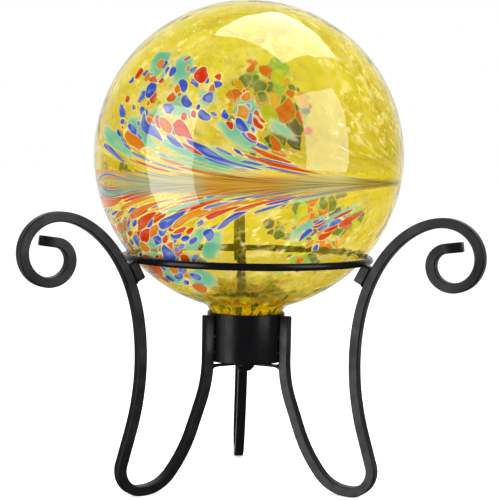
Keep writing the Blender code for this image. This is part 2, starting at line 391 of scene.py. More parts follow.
def inner_route(strand_run, slant_run):
    route = Route()
    route.straight(strand_run)
    route.bend(STRAND_BEND_RADIUS, STRAND_BEND_DEG)
    route.straight(slant_run)
    route.bend(CALF_RADIUS, CALF_BEND_DEG)
    route.bend(TOE_RADIUS, 90.0 - STRAND_BEND_DEG - CALF_BEND_DEG)
    route.straight(FOOT_FLAT)
    return route


def outer_route():
    route = Route(heading=90.0)
    route.bend(HEEL_RADIUS, HEEL_BEND_DEG)
    route.straight(SHANK_RUN)
    route.bend(SHANK_RADIUS, -SHANK_BEND_DEG)
    route.bend(SHOULDER_RADIUS, -SHOULDER_BEND_DEG, CROWN_RADIUS)
    route.bend(CROWN_RADIUS, -CURL_BEND_DEG, CURL_RADIUS)
    route.straight(TAIL_RUN)
    return route


TUBE_INNER = TUBE_RADIUS - TUBE_WALL
TUBE_BOTTOM = TUBE_TOP - TUBE_LENGTH
FILLET_RADIAL = NECK_RADIUS + NECK_FILLET
FILLET_Z = TUBE_TOP - math.sqrt((NECK_FILLET - SEAT_GAP) ** 2 - (FILLET_RADIAL - TUBE_INNER) ** 2)
BALL_Z = FILLET_Z + math.sqrt((BALL_RADIUS + NECK_FILLET) ** 2 - FILLET_RADIAL ** 2)
RING_OFF_CENTRE = BALL_RADIUS + BALL_TO_RING + RING_ROD / 2.0
RING_RADIUS = RING_OFF_CENTRE * math.cos(math.radians(RING_SLOPE_DEG))
RING_Z = BALL_Z - RING_OFF_CENTRE * math.sin(math.radians(RING_SLOPE_DEG))
STRAND_RADIUS = TUBE_RADIUS + WELD_GAP + BAR / 2.0
STRAND_TOP = TUBE_TOP - STRAND_DROP
RING_TO_SHANK = RING_ROD / 2.0 + WELD_GAP - RING_SEAT_DEPTH + BAR + WELD_GAP + BAR / 2.0
ARM_Z = TUBE_TOP - TUBE_LENGTH - ARM_DROP
ARM_TOP = ARM_Z + ARM_ROD / 2.0


def shank_under_ring(points):
    """The foot's radius that brings the shank to the ring, and where the two are nearest."""
    ring_height = RING_Z - BAR / 2.0
    least_climb = 0.1
    crossings = []
    for start, end in zip(points, points[1:]):
        along = (end - start).normalized()
        if along.y < least_climb:
            continue
        inward = Vector((-along.y, along.x))
        step = (ring_height - start.y - inward.y * RING_TO_SHANK) / along.y
        off_the_run = max(0.0, -step, step - (end - start).length)
        crossings.append((off_the_run, start + along * step, along, inward))
    nearest, along, inward = min(crossings, key=lambda crossing: crossing[0])[1:]
    return RING_RADIUS - (nearest + inward * RING_TO_SHANK).x, nearest, along


def leg_points():
    outer = outer_route().points
    foot_radius, nearest, along = shank_under_ring(outer)
    bends = inner_route(0.0, 0.0).end()
    slant = (foot_radius - STRAND_RADIUS - bends.x) / math.sin(math.radians(STRAND_BEND_DEG))
    drop = slant * math.cos(math.radians(STRAND_BEND_DEG)) - bends.y
    inner = inner_route(STRAND_TOP - BAR / 2.0 - drop, slant).points
    top = Vector((STRAND_RADIUS, STRAND_TOP))
    foot = Vector((foot_radius, BAR / 2.0))
    return [top + p for p in inner] + [foot + p for p in outer[1:]], foot + nearest, along


LEG_POINTS, REST_POINT, REST_ALONG = leg_points()
REST_INWARD = Vector((-REST_ALONG.y, REST_ALONG.x))
LEG_REACH = max(point.x for point in LEG_POINTS) + BAR / 2.0
AXIS = Vector((0.0, (BALL_RADIUS - LEG_REACH) / 2.0, 0.0))
BALL_CENTRE = AXIS + Vector((0.0, 0.0, BALL_Z))


def outward(azimuth_deg):
    """The level direction from the stand's axis towards an azimuth, counted from the front."""
    azimuth = math.radians(azimuth_deg)
    return Vector((math.sin(azimuth), -math.cos(azimuth), 0.0))


def on_leg(azimuth_deg, radius, height, across=0.0):
    """A point of a leg's upright plane, or one set off it to the side."""
    out = outward(azimuth_deg)
    side = Vector((-out.y, out.x, 0.0))
    return AXIS + out * radius + side * across + Vector((0.0, 0.0, height))


def face_out(piece):
    """Turn every face of a closed piece outward."""
    work = bmesh.new()
    work.from_mesh(piece.data)
    bmesh.ops.recalc_face_normals(work, faces=work.faces)
    work.to_mesh(piece.data)
    work.free()
    piece.data.shade_smooth()


def new_object(name, vertices, faces, material, replaced=(), origin=None):
    """A smooth-shaded closed mesh piece that rides on the stand."""
    mesh = bpy.data.meshes.new(name)
    if origin is not None:
        vertices = [Vector(v) - origin for v in vertices]
    mesh.from_pydata([tuple(v) for v in vertices], [], faces)
    mesh.validate()
    mesh.materials.append(material)
    piece = bpy.data.objects.new(name, mesh)
    if origin is not None:
        piece.location = origin
    bpy.context.scene.collection.objects.link(piece)
    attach(piece, "root")
    if replaced:
        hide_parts(*replaced)
    face_out(piece)
    return piece


def steel_piece(name, vertices, faces, coat, *replaced):
    return new_object(name, vertices, faces, coat, replaced)


def around(count):
    """Angles evenly round a full turn."""
    return [2.0 * math.pi * step / count for step in range(count)]


def grid_faces(rows, columns, close_rows=False):
    """Faces of a tube of rows, each a closed ring of columns."""
    faces = []
    for row in range(rows if close_rows else rows - 1):
        here = row * columns
        there = (row + 1) % rows * columns
        for column in range(columns):
            beside = (column + 1) % columns
            faces.append((here + column, here + beside, there + beside, there + column))
    return faces


def capped_faces(rows, columns):
    """Faces of a tube of rows that a face closes at either end."""
    count = rows * columns
    caps = [tuple(range(columns - 1, -1, -1)), tuple(range(count - columns, count))]
    return grid_faces(rows, columns) + caps


def turned(profile, steps, centre, closed=True):
    """Vertices and faces of a turned shape about an upright axis."""
    vertices = []
    for radius, height in profile:
        for angle in around(steps):
            offset = Vector((radius * math.cos(angle), radius * math.sin(angle), height))
            vertices.append(centre + offset)
    return vertices, grid_faces(len(profile), steps, closed)


def square_section(half, edge):
    """The bar's section: flat sides, eased corners, and a support row beside each corner."""
    points = []
    flat = half - edge
    support = edge * SUPPORT_SHARE
    for quarter in range(4):
        turn = quarter * math.pi / 2.0
        ring = [(half, flat - support)]
        for step in range(CORNER_ROWS + 1):
            angle = math.pi / 2.0 * step / CORNER_ROWS
            ring.append((flat + edge * math.cos(angle), flat + edge * math.sin(angle)))
        ring.append((flat - support, half))
        cos, sin = math.cos(turn), math.sin(turn)
        points += [(x * cos - y * sin, x * sin + y * cos) for x, y in ring]
    return points


def swept_bar(line, azimuth_deg):
    """A square bar along a line of its leg's plane, with eased ends."""
    half = BAR / 2.0
    section = square_section(half, BAR_EDGE)
    directions = []
    for index in range(len(line)):
        before = line[max(index - 1, 0)]
        after = line[min(index + 1, len(line) - 1)]
        directions.append((after - before).normalized())
    ease = BAR_EDGE * BAR_END_SHARE
    stations = [(line[0], directions[0], ease)]
    stations.append((line[0] + directions[0] * ease, directions[0], 0.0))
    for point, direction in zip(line[1:-1], directions[1:-1]):
        stations.append((point, direction, 0.0))
    stations.append((line[-1] - directions[-1] * ease, directions[-1], 0.0))
    stations.append((line[-1], directions[-1], ease))
    vertices = []
    for point, direction, shrink in stations:
        normal = Vector((-direction.y, direction.x))
        scale = 1.0 - shrink / half
        for across, out in section:
            place = point + normal * (out * scale)
            vertices.append(on_leg(azimuth_deg, place.x, place.y, across * scale))
    return vertices, capped_faces(len(stations), len(section))


class Graph:
    """Short calls for building a tree of nodes."""

    def __init__(self, tree):
        self.tree = tree

    def put(self, socket, value):
        if isinstance(value, bpy.types.NodeSocket):
            self.tree.links.new(value, socket)
        else:
            socket.default_value = value

    def fill(self, sockets, *values):
        for socket, value in zip(sockets, values):
            self.put(socket, value)

    def math(self, operation, *values):
        node = self.tree.nodes.new("ShaderNodeMath")
        node.operation = operation
        self.fill(node.inputs, *values)
        return node.outputs[0]

    def chain(self, operation, first, others):
        """The operation on the first value and each other one in turn."""
        for other in others:
            first = self.math(operation, first, other)
        return first

    def plus(self, first, *others):
        return self.chain("ADD", first, others)

    def times(self, first, *others):
        return self.chain("MULTIPLY", first, others)

    def most(self, first, *others):
        return self.chain("MAXIMUM", first, others)

    def minus(self, first, second):
        return self.math("SUBTRACT", first, second)

    def size(self, value):
        """A value without its sign."""
        return self.math("ABSOLUTE", value)

    def length(self, x, y):
        return self.math("SQRT", self.plus(self.times(x, x), self.times(y, y)))

    def vector(self, operation, first, second=None, scale=None):
        node = self.tree.nodes.new("ShaderNodeVectorMath")
        node.operation = operation
        self.put(node.inputs[0], first)
        if second is not None:
            self.put(node.inputs[1], second)
        if scale is not None:
            self.put(node.inputs["Scale"], scale)
        return node.outputs["Vector"]

    def split(self, vector):
        node = self.tree.nodes.new("ShaderNodeSeparateXYZ")
        self.put(node.inputs[0], vector)
        return node.outputs[0], node.outputs[1], node.outputs[2]

    def join(self, x, y, z):
        node = self.tree.nodes.new("ShaderNodeCombineXYZ")
        self.fill(node.inputs, x, y, z)
        return node.outputs[0]

    def coordinates(self, kind):
        return self.tree.nodes.new("ShaderNodeTexCoord").outputs[kind]

    def step(self, value, low, high, to_low=0.0, to_high=1.0):
        """A soft step from to_low to to_high as value passes from low to high."""
        node = self.tree.nodes.new("ShaderNodeMapRange")
        node.interpolation_type = "SMOOTHSTEP"
        self.fill(node.inputs, value, low, high, to_low, to_high)
        return node.outputs["Result"]

    def noise(self, vector, scale, detail=2.0, roughness=0.5, colour=False):
        node = self.tree.nodes.new("ShaderNodeTexNoise")
        sockets = [node.inputs[name] for name in ("Vector", "Scale", "Detail", "Roughness")]
        self.fill(sockets, vector, scale, detail, roughness)
        return node.outputs["Color" if colour else "Fac"]

    def cells(self, vector, scale, squash):
        """Voronoi cells, made taller by the squash.

        Gives how far the cell's centre and its border are, three random numbers, and the centre.
        """
        vector = self.vector("MULTIPLY", vector, (1.0, 1.0, squash))
        nodes = []
        for feature in ("F1", "F2"):
            node = self.tree.nodes.new("ShaderNodeTexVoronoi")
            node.feature = feature
            self.put(node.inputs["Vector"], vector)
            node.inputs["Scale"].default_value = scale
            nodes.append(node)
        far = nodes[0].outputs["Distance"]
        border = self.minus(nodes[1].outputs["Distance"], far)
        split = self.tree.nodes.new("ShaderNodeSeparateColor")
        self.put(split.inputs[0], nodes[0].outputs["Color"])
        centre = self.vector("MULTIPLY", nodes[0].outputs["Position"], (1.0, 1.0, 1.0 / squash))
        return far, border, tuple(split.outputs), centre

    def mixed(self, kind, sockets, *values):
        node = self.tree.nodes.new("ShaderNodeMix")
        node.data_type = kind
        self.fill([node.inputs[socket] for socket in sockets], *values)
        return node.outputs

    def mix(self, factor, first, second):
        """A colour between two colours."""
        return self.mixed("RGBA", (0, 6, 7), factor, first, second)[2]

    def blend(self, factor, first, second):
        """A number between two numbers."""
        return self.mixed("FLOAT", (0, 2, 3), factor, first, second)[0]

    def ramp(self, value, first, *steps):
        """A colour that changes at each step (low, high, colour) of a value."""
        colour = srgb(first)
        for low, high, tone in steps:
            colour = self.mix(self.step(value, low, high), colour, srgb(tone))
        return colour


class Material(Graph):
    """A new material, whose nodes end in its shader."""

    def __init__(self, name):
        self.material = bpy.data.materials.new(name)
        self.material.use_nodes = True
        super().__init__(self.material.node_tree)
        self.shader = self.tree.nodes["Principled BSDF"]

    def set(self, **values):
        for name, value in values.items():
            self.put(self.shader.inputs[name.replace("_", " ")], value)

    def bump(self, *layers):
        """Relief from layers of (height, strength, distance), one on the other."""
        below = None
        for height, strength, distance in layers:
            node = self.tree.nodes.new("ShaderNodeBump")
            node.inputs["Strength"].default_value = strength
            node.inputs["Distance"].default_value = distance
            self.put(node.inputs["Height"], height)
            if below is not None:
                self.put(node.inputs["Normal"], below)
            below = node.outputs[0]
        self.put(self.shader.inputs["Normal"], below)


def srgb(display):
    """A display colour, 0 to 255, as the linear colour that shaders take."""
    linear = []
    for value in display:
        value /= 255.0
        linear.append(value / 12.92 if value <= 0.04045 else ((value + 0.055) / 1.055) ** 2.4)
    return (*linear, 1.0)


class BallGlass(Material):
    """The glass in the making, with places on the ball as directions from its centre.

    The layers so far are held as colour, as clear for how see-through it is, as chips for where a
    chip is, as opaque for how solid a chip's back is from inside the ball, and as shade for how
    much painted shade darkens that back.
    """

    def __init__(self, name, from_inside):
        super().__init__(name)
        self.margin = INSIDE_MARGIN if from_inside else 0.0
        self.place = self.vector("NORMALIZE", self.coordinates("Object"))
        self.x, self.y, height = self.split(self.place)
        self.z = self.minus(height, self.times(self.x, SPINE_TILT))
        self.longitude = self.longitude_of(self.x, self.y)
        self.behind = self.step(self.size(self.longitude), *map(math.radians, BACK_WALL_DEG))
        self.off = self.size(self.minus(self.z, SPINE_HEIGHT))
        self.source = self.minus(self.longitude, self.dragged())
        level = self.length(self.x, self.y)
        combed = self.join(self.times(level, self.math("SINE", self.source)),
                           self.times(level, self.math("COSINE", self.source), -1.0), self.z)
        self.combed = self.jostled(combed, WOBBLE_NOISE, WOBBLE)
        self.ragged = self.jostled(self.combed, RIPPLE_NOISE, RIPPLE)

    def longitude_of(self, x, y):
        return self.math("ARCTAN2", x, self.times(y, -1.0))

    def along(self, low_deg, high_deg, to_low=0.0, to_high=1.0):
        """A soft step from one longitude to another."""
        return self.step(self.longitude, math.radians(low_deg), math.radians(high_deg), to_low, to_high)

    def between(self, rise_deg, full_deg, fall_deg, end_deg):
        """A stretch of longitude with soft ends, as its two steps."""
        return self.along(rise_deg, full_deg), self.along(fall_deg, end_deg, 1.0, 0.0)

    def dragged(self):
        """How far the comb drags the glass along its level line, less with the distance from it."""
        pulls = []
        for reach, drag_deg in ((SPINE_REACH, SPINE_DRAG_DEG), (TIP_REACH, TIP_DRAG_DEG)):
            fade = self.math("EXPONENT", self.math("DIVIDE", self.off, -reach))
            pulls.append(self.times(fade, math.radians(drag_deg)))
        return self.times(self.plus(*pulls), self.times(*self.between(*COMB_ENDS_DEG)))

    def jostled(self, place, kind, amount):
        """A place moved about by a kind of noise."""
        shift = self.vector("SUBTRACT", self.noise(place, *kind, colour=True), (0.5, 0.5, 0.5))
        return self.vector("ADD", place, self.vector("SCALE", shift, scale=amount))

    def depth(self, longitude, height):
        """How far a place lies inside the nearest patch of chips, above 0 inside it."""
        deepest = FAR_OUTSIDE
        for middle_deg, middle_z, half_deg, half_z in PATCHES:
            turn = self.math("WRAP", self.minus(longitude, math.radians(middle_deg)), math.pi, -math.pi)
            across = self.math("DIVIDE", turn, math.radians(half_deg))
            up = self.math("DIVIDE", self.minus(height, middle_z), half_z)
            deepest = self.most(deepest, self.minus(1.0, self.length(across, up)))
        return deepest

    def cell_depth(self, centre):
        """The same for a cell, by its centre, with a ragged outline."""
        x, y, z = self.split(centre)
        rough = self.times(self.minus(self.noise(centre, *RAGGED_NOISE), 0.5), RAGGEDNESS)
        return self.plus(self.depth(self.longitude_of(x, y), z), rough)

    def stepped(self, place, kind, step):
        """A soft step in a kind of noise."""
        return self.step(self.noise(place, *kind), *step)

    def yellow_ground(self):
        """Yellow of a broad tone, with a painted highlight on top and painted shade low down, a milky
        haze, and pale flecks where its blobs don't quite meet.
        """
        yellow = self.mix(self.stepped(self.combed, *TONE), *map(srgb, YELLOWS))
        far, _, chance, _ = self.cells(self.ragged, GROUND_CELLS, GROUND_SQUASH)
        yellow = self.mix(self.times(chance[0], CELL_YELLOW_SHARE), yellow, srgb(CELL_YELLOW))
        # Painted highlight: lighter yellow towards the top
        yellow = self.mix(self.step(self.z, *TOP_HIGHLIGHT_STEP), yellow, srgb(TOP_HIGHLIGHT_YELLOW))
        # Painted shade: darker yellow towards the bottom
        yellow = self.mix(self.step(self.z, *LOW_SHADE_STEP), yellow, srgb(LOW_SHADE_YELLOW))
        haze = self.stepped(self.ragged, *HAZE)
        gap = self.times(self.step(far, *GAP_STEP), GAP_SHARE)
        spots = self.times(self.stepped(self.ragged, *SPOTS), SPOT_SHARE)
        clouds = self.times(self.stepped(self.ragged, *CLOUDS), CLOUD_SHARE)
        scattered = self.stepped(self.combed, *SCATTER)
        off_the_comb = self.step(self.off, *OFF_COMB_STEP)
        fleck = self.times(self.most(gap, spots, clouds), scattered, off_the_comb)
        near_chips = self.step(self.depth(self.source, self.z), *NEAR_CHIPS_STEP)
        milk = self.times(self.most(self.times(haze, near_chips), fleck), self.outside_window())
        self.colour = self.mix(milk, yellow, srgb(MILK))
        self.clear = self.blend(milk, CLEAR_YELLOW, CLEAR_MILK)

    def outside_window(self):
        """Low right of the front's middle, where the chips of the back wall glow through."""
        off_middle = self.size(self.minus(self.z, WINDOW_HEIGHT))
        window = self.times(*self.between(*WINDOW_ENDS_DEG), self.step(off_middle, *WINDOW_STEP))
        return self.minus(1.0, window)

    def mint_chips(self):
        """Large soft mint chips in a pale halo."""
        far, border, chance, centre = self.cells(self.ragged, MINT_CELLS, MINT_SQUASH)
        wanted = self.times(self.math("GREATER_THAN", self.cell_depth(centre), 0.0),
                            self.math("LESS_THAN", chance[0], MINT_SHARE))
        end = MINT_END - self.margin
        start = MINT_BORDER + self.margin
        body = self.times(self.step(far, end, end + MINT_FAR_EDGE, 1.0, 0.0),
                          self.step(border, start, start + MINT_BORDER_EDGE))
        halo = self.times(wanted, self.step(far, *HALO_STEP), HALO_SHARE)
        self.colour = self.mix(halo, self.colour, srgb(HALO))
        self.chips = self.times(wanted, body)
        mint = self.mix(chance[1], *map(srgb, MINTS))
        mint = self.mix(self.stepped(self.ragged, *DULL), mint, srgb(DULL_MINT))
        mint = self.mix(self.step(far, *OUTER_MINT_STEP), mint, srgb(OUTER_MINT))
        mint = self.mix(self.times(self.behind, BACK_MINT_SHARE), mint, srgb(BACK_MINT))
        self.colour = self.mix(self.chips, self.colour, mint)
        self.clear = self.blend(self.chips, self.clear, self.blend(self.behind, *CLEAR_MINTS))
        self.opaque = self.times(self.chips, MINT_BACK_SOLID)
        # Painted shade on the back of a mint chip
        self.shade = self.times(self.chips, MINT_BACK_SHADE)

    def chip_colour(self, kind, warm, chance, edge):
        """Blue, red or orange by kind, mottled, with a dark edge, and vivid on the back wall."""
        back_blue = self.mix(self.step(chance, *BACK_BLUE_STEP), *map(srgb, BACK_BLUES))
        back_orange = self.mix(self.step(chance, *BACK_ORANGE_STEP), *map(srgb, BACK_ORANGES))
        backs = (back_blue, srgb(BACK_RED), back_orange)
        shades = []
        for tones, back, share in zip((BLUES, REDS, ORANGES), backs, BACK_CHIP_SHARES):
            shade = self.mix(chance, *map(srgb, tones))
            shades.append(self.mix(self.times(self.behind, share), shade, back))
        blue, red, orange = shades
        chip = self.mix(warm, blue, red)
        chip = self.mix(self.math("GREATER_THAN", kind, ORANGE_FROM), chip, orange)
        mottle = self.times(self.stepped(self.ragged, *MOTTLE),
                            self.blend(self.behind, 1.0, BACK_MOTTLE_SHARE))
        pale = self.mix(self.blend(warm, *MOTTLE_SHARES), chip, srgb(CHIP_MOTTLE))
        chip = self.mix(mottle, chip, pale)
        dark = self.mix(DARK_EDGE_SHARE, chip, srgb(CHIP_EDGE))
        return self.mix(self.step(edge, *DARK_EDGE_STEP), chip, dark)

    def small_chips(self):
        """Small chips of three sizes with a thin pale outline; larger ones go before smaller ones.

        Low down and on the back wall they lie closer and are larger.
        """
        dense = self.step(self.z, *DENSE_STEP)
        taken = 0.0
        for scale, share, squash in SMALL_CHIPS:
            far, border, chance, centre = self.cells(self.ragged, scale, squash)
            limit = self.plus(self.most(self.times(self.behind, BACK_LIMIT), dense), share)
            wanted = self.times(self.math("GREATER_THAN", self.cell_depth(centre), CHIP_DEPTH),
                                self.math("LESS_THAN", chance[0], limit))
            larger = self.most(self.times(self.behind, BACK_REACH), self.times(dense, DENSE_REACH))
            reach = self.plus(self.blend(chance[1], *CHIP_REACH), larger)
            edge = self.math("MINIMUM", self.minus(reach, far), self.times(border, CHIP_BORDER))
            wanted = self.times(wanted, self.minus(1.0, taken))
            rim = self.times(wanted, self.step(edge, self.margin - CHIP_RIM, self.margin + CHIP_RIM))
            body = self.times(wanted, self.step(edge, *BODY_STEP))
            taken = self.most(taken, rim)
            kind = self.math("DIVIDE", chance[0], limit)
            warm = self.math("GREATER_THAN", kind, WARM_FROM)
            chip = self.chip_colour(kind, warm, chance[2], edge)
            pale = self.stepped(self.ragged, *PALE_OUTLINE)
            self.colour = self.mix(self.times(rim, pale), self.colour, srgb(CHIP_OUTLINE))
            self.colour = self.mix(body, self.colour, chip)
            see_through = self.blend(self.behind, CLEAR_CHIP, self.blend(warm, *CLEAR_BACK_CHIPS))
            self.clear = self.blend(rim, self.clear, see_through)
            self.chips = self.most(self.chips, rim)
            self.opaque = self.most(self.opaque, rim)
            # Painted shade on the back of a small chip
            self.shade = self.most(self.shade, self.times(body, CHIP_BACK_SHADE))

    def comb_streaks(self):
        """Along the comb's line the colours run into fine cream, brown, olive and golden streaks."""
        narrow = self.times(self.off, self.along(*NARROWING_DEG))
        spine = self.times(self.step(narrow, *SPINE_STEP), *self.between(*SPINE_ENDS_DEG))
        strand = self.noise(self.combed, *STRAND_NOISE)
        streak = self.ramp(strand, *CREAM_STREAKS)
        for low_deg, high_deg, tones in STREAKS_ALONG:
            streak = self.mix(self.along(low_deg, high_deg), streak, self.ramp(strand, *tones))
        self.colour = self.mix(self.times(spine, STREAK_SHARE), self.colour, streak)
        self.clear = self.blend(spine, self.clear, CLEAR_STREAK)

    def neck_mottling(self):
        """Towards the neck the glass is drawn together: fine amber, brown and pale mottling."""
        lobes = self.noise(self.join(self.x, self.y, 0.0), *LOBE_NOISE)
        low = self.minus(self.times(lobes, LOBE_DEPTH), self.z)
        neck = self.step(low, *NECK_STEP)
        front_and_rear = self.math("COSINE", self.times(self.longitude, 2.0))
        pile = self.times(self.step(low, *PILE_STEP), self.step(front_and_rear, *PILE_SIDE_STEP))
        drawn = self.most(neck, pile)
        height = self.split(self.coordinates("Object"))[2]
        round_about = self.vector("NORMALIZE", self.join(self.x, self.y, 0.0))
        spun = self.vector("ADD", self.vector("SCALE", round_about, scale=PEBBLE_ROUND),
                           self.join(0.0, 0.0, self.times(height, PEBBLE_UP)))
        pebble = self.noise(spun, *PEBBLE_NOISE)
        self.colour = self.mix(drawn, self.colour, self.ramp(pebble, *NECK_AMBERS))
        self.clear = self.blend(drawn, self.clear, self.blend(neck, CLEAR_PILE, CLEAR_NECK))


def art_glass(name, from_inside):
    """Yellow glass with pale flecks, and patches of coloured chips combed along one level line.

    The chips are nearly opaque, but see-through on the back wall. The same pattern goes on both
    faces of the wall: in full colour outside, and inside only as the backs of the chips that are
    not on the back wall, darkened by painted shade, in glass that is clear elsewhere. There each
    chip is a little smaller, to stay behind its front.
    """
    g = BallGlass(name, from_inside)
    g.yellow_ground()
    g.mint_chips()
    g.small_chips()
    g.comb_streaks()
    g.neck_mottling()
    if from_inside:
        # Painted shade: from inside, the backs of chips that are not on the back wall go dark
        in_front = g.minus(1.0, g.behind)
        backs = g.mix(g.times(g.shade, BACK_SHADE_SHARE), g.colour, srgb(SHADED_CHIP_BACK))
        colour = g.mix(g.times(g.chips, in_front), WHITE, backs)
        clear = g.blend(g.times(g.opaque, in_front), 1.0, 0.0)
    else:
        colour, clear = g.colour, g.clear
    g.set(Base_Color=colour, Transmission_Weight=clear, Roughness=GLASS_ROUGHNESS, IOR=GLASS_IOR)
    g.bump((g.noise(g.place, *GLASS_WAVE_NOISE), *GLASS_RELIEF))
    return g.material


def coated_steel(name, sheen, roughness, grain, waves):
    """Satin black powder coat over steel, slightly wavy and finely pebbled."""
    g = Material(name)
    place = g.coordinates("Object")
    colour = g.mix(g.noise(place, *COAT_NOISE), *map(srgb, COAT_COLOURS))
    spread = [roughness + change for change in WORN_CHANGES]
    worn = g.step(g.noise(place, *WORN_NOISE), *WORN_STEP, *spread)
    g.set(Base_Color=colour, Specular_IOR_Level=sheen, Roughness=worn)
    g.bump((g.noise(place, *WAVE_NOISE), waves, WAVE_HEIGHT),
           (g.noise(place, *GRAIN_NOISE), grain, GRAIN_HEIGHT))
    return g.material


def arc_points(centre, radius, start_deg, end_deg, steps):
    points = []
    for step in range(steps + 1):
        angle = math.radians(start_deg + (end_deg - start_deg) * step / steps)
        points.append((centre[0] + radius * math.sin(angle), centre[1] + radius * math.cos(angle)))
    return points


def make_ball(outside, inside):
    """The blown globe and its neck, a closed shell with its own material on the inside."""
    meet_deg = 180.0 - math.degrees(math.asin(FILLET_RADIAL / (BALL_RADIUS + NECK_FILLET)))
    neck_end = TUBE_TOP - NECK_INSERT

    def side(offset):
        globe = arc_points((0.0, BALL_Z), BALL_RADIUS - offset, POLE_DEG, meet_deg, GLOBE_ROWS)
        fillet = arc_points((FILLET_RADIAL, FILLET_Z), NECK_FILLET + offset, meet_deg - 180.0, -90.0,
                            FILLET_ROWS)
        down = []
        for step in range(1, NECK_ROWS):
            down.append((NECK_RADIUS - offset, FILLET_Z + (neck_end - FILLET_Z) * step / NECK_ROWS))
        return globe + fillet[1:] + down

    outer = side(0.0)
    inner = side(BALL_WALL)
    lip = []
    lip_radius = BALL_WALL / 2.0
    for step in range(LIP_ROWS + 1):
        angle = math.pi * step / LIP_ROWS
        lip.append((NECK_RADIUS - lip_radius + lip_radius * math.cos(angle),
                    neck_end + lip_radius - lip_radius * math.sin(angle)))
    profile = outer + lip + inner[::-1]
    vertices, faces = turned(profile, BALL_COLUMNS, AXIS, closed=False)
    outer_pole = len(vertices)
    inner_pole = outer_pole + 1
    vertices.append(AXIS + Vector((0.0, 0.0, BALL_Z + BALL_RADIUS)))
    vertices.append(AXIS + Vector((0.0, 0.0, BALL_Z + BALL_RADIUS - BALL_WALL)))
    last = (len(profile) - 1) * BALL_COLUMNS
    for step in range(BALL_COLUMNS):
        beside = (step + 1) % BALL_COLUMNS
        faces.append((outer_pole, beside, step))
        faces.append((inner_pole, last + step, last + beside))
    ball = new_object("blown_glass_ball", vertices, faces, outside, ("glass_ball",),
                      BALL_CENTRE)
    ball.data.materials.append(inside)
    inner_start = (len(outer) + len(lip) // 2) * BALL_COLUMNS
    for face in ball.data.polygons:
        if min(face.vertices) >= inner_start:
            face.material_index = 1


def make_legs(steel):
    for side, azimuth_deg in LEGS.items():
        vertices, faces = swept_bar(LEG_POINTS, azimuth_deg)
        steel_piece("scroll_leg_" + side, vertices, faces, steel, "leg_" + side)


def make_rests(steel):
    """The short bars that carry the ring, along the shanks."""
    rise = REST_ABOVE_RING - REST_LENGTH / 2.0
    middle = REST_POINT + REST_INWARD * (BAR + WELD_GAP) + REST_ALONG * rise
    line = []
    for step in range(REST_ROWS + 1):
        line.append(middle + REST_ALONG * (REST_LENGTH * (step / REST_ROWS - 0.5)))
    for side, azimuth_deg in LEGS.items():
        vertices, faces = swept_bar(line, azimuth_deg)
        steel_piece("rest_block_" + side, vertices, faces, steel, "ring_rest_" + side)


def make_tube(steel):
    """The socket tube, with eased rims."""
    ease = TUBE_EDGE
    corners = ((TUBE_RADIUS - ease, TUBE_TOP - ease), (TUBE_RADIUS - ease, TUBE_BOTTOM + ease),
               (TUBE_INNER + ease, TUBE_BOTTOM + ease), (TUBE_INNER + ease, TUBE_TOP - ease))
    profile = []
    for number, corner in enumerate(corners):
        profile += arc_points(corner, ease, number * 90.0, number * 90.0 + 90.0, CORNER_ROWS)
    vertices, faces = turned(profile, TUBE_COLUMNS, AXIS)
    steel_piece("socket_sleeve", vertices, faces, steel, "socket_tube")


def make_ring(steel):
    profile = []
    for angle in around(ROD_COLUMNS):
        profile.append((RING_RADIUS + RING_ROD / 2.0 * math.cos(angle),
                        RING_Z + RING_ROD / 2.0 * math.sin(angle)))
    vertices, faces = turned(profile, RING_COLUMNS, AXIS)
    steel_piece("steadying_ring", vertices, faces, steel, "support_ring")


def weld(name, line, thickness, steel, seed):
    """A short lumpy bead along a line of points, with rounded ends."""
    runs = len(line) - 1
    rows = BEAD_ROWS * runs + 1
    along = (line[-1] - line[0]).normalized()
    first = along.orthogonal().normalized()
    second = along.cross(first)
    seeded = Vector((seed * BEAD_SEED_STEP, 0.0, 0.0))
    vertices = []
    for row in range(rows):
        spot = row / (rows - 1) * runs
        index = min(int(spot), runs - 1)
        centre = line[index].lerp(line[index + 1], spot - index)
        share = row / (rows - 1) * 2.0 - 1.0
        taper = math.sqrt(max(0.0, 1.0 - abs(share) ** 3)) * (1.0 - BEAD_END) + BEAD_END
        for angle in around(BEAD_COLUMNS):
            out = math.cos(angle) * first + math.sin(angle) * second
            lump = noise.noise((centre + out * thickness) * BEAD_LUMPS_PER_M + seeded)
            vertices.append(centre + out * (thickness * taper * (1.0 + BEAD_LUMP * lump)))
    steel_piece(name, vertices, capped_faces(rows, BEAD_COLUMNS), steel)


